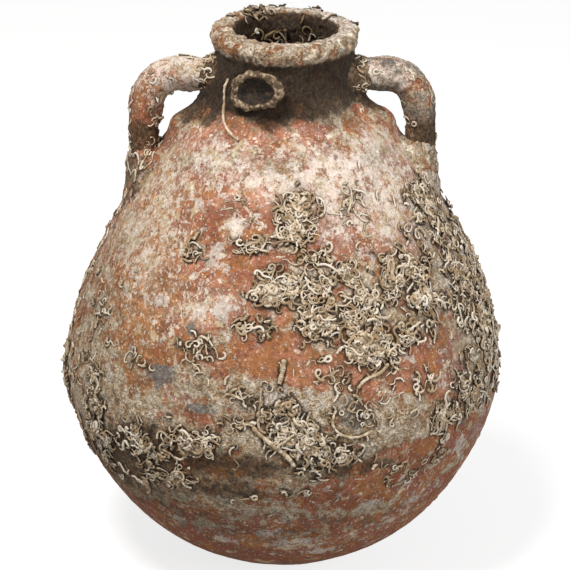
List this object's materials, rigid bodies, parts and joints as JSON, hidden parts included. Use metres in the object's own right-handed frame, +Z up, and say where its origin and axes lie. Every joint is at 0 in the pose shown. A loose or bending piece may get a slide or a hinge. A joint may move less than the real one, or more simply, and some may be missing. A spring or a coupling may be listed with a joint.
{
  "type": "transport amphora",
  "caption": "Pear-shaped clay transport jar with short neck, rolled rim and two loop handles, overgrown with limy worm tubes.",
  "frame": {"origin": "centre of the foot button's flat underside", "axes": "+Z up along the jar's axis, handles near -X and +X, the overgrown front towards -Y"},
  "size_m": [0.3169, 0.3175, 0.4],
  "materials": {
    "clay": "matte, weathered",
    "pale_clay": "matte, weathered",
    "lime_crust": "matte, rough",
    "oyster_shell": "matte, layered"
  },
  "bodies": {
    "root": {"colony_back_left": "lime_crust", "colony_back_low_left": "lime_crust", "colony_back_low_right": "lime_crust", "colony_back_middle": "lime_crust", "colony_back_right": "lime_crust", "colony_back_under": "lime_crust", "colony_belly_left": "lime_crust", "colony_high_right": "lime_crust", "colony_in_mouth": "lime_crust", "colony_left_edge": "lime_crust", "colony_left_side": "lime_crust", "colony_low_front": "lime_crust", "colony_low_left": "lime_crust", "colony_low_middle": "lime_crust", "colony_low_right": "lime_crust", "colony_middle_front": "lime_crust", "colony_middle_left": "lime_crust", "colony_middle_right": "lime_crust", "colony_right_edge": "lime_crust", "colony_right_flank": "lime_crust", "colony_right_side": "lime_crust", "colony_shoulder_front": "lime_crust", "colony_shoulder_left": "lime_crust", "colony_shoulder_ridge": "lime_crust", "colony_shoulder_right": "lime_crust", "colony_under_front": "lime_crust", "colony_upper_front": "lime_crust", "foot_button": "clay", "left_handle": "clay", "left_handle_foot_pad": "pale_clay", "left_handle_neck_pad": "pale_clay", "lower_body": "clay", "neck": "clay", "oyster_valve_on_neck": "oyster_shell", "right_handle": "clay", "right_handle_foot_pad": "pale_clay", "right_handle_neck_pad": "pale_clay", "rim": "clay", "tube_down_neck": "lime_crust", "tube_hooked_right": "lime_crust", "tube_long_low": "lime_crust", "tube_upright_front": "lime_crust", "tube_wavy_low": "lime_crust", "upper_body": "clay"}
  },
  "joints": []
}
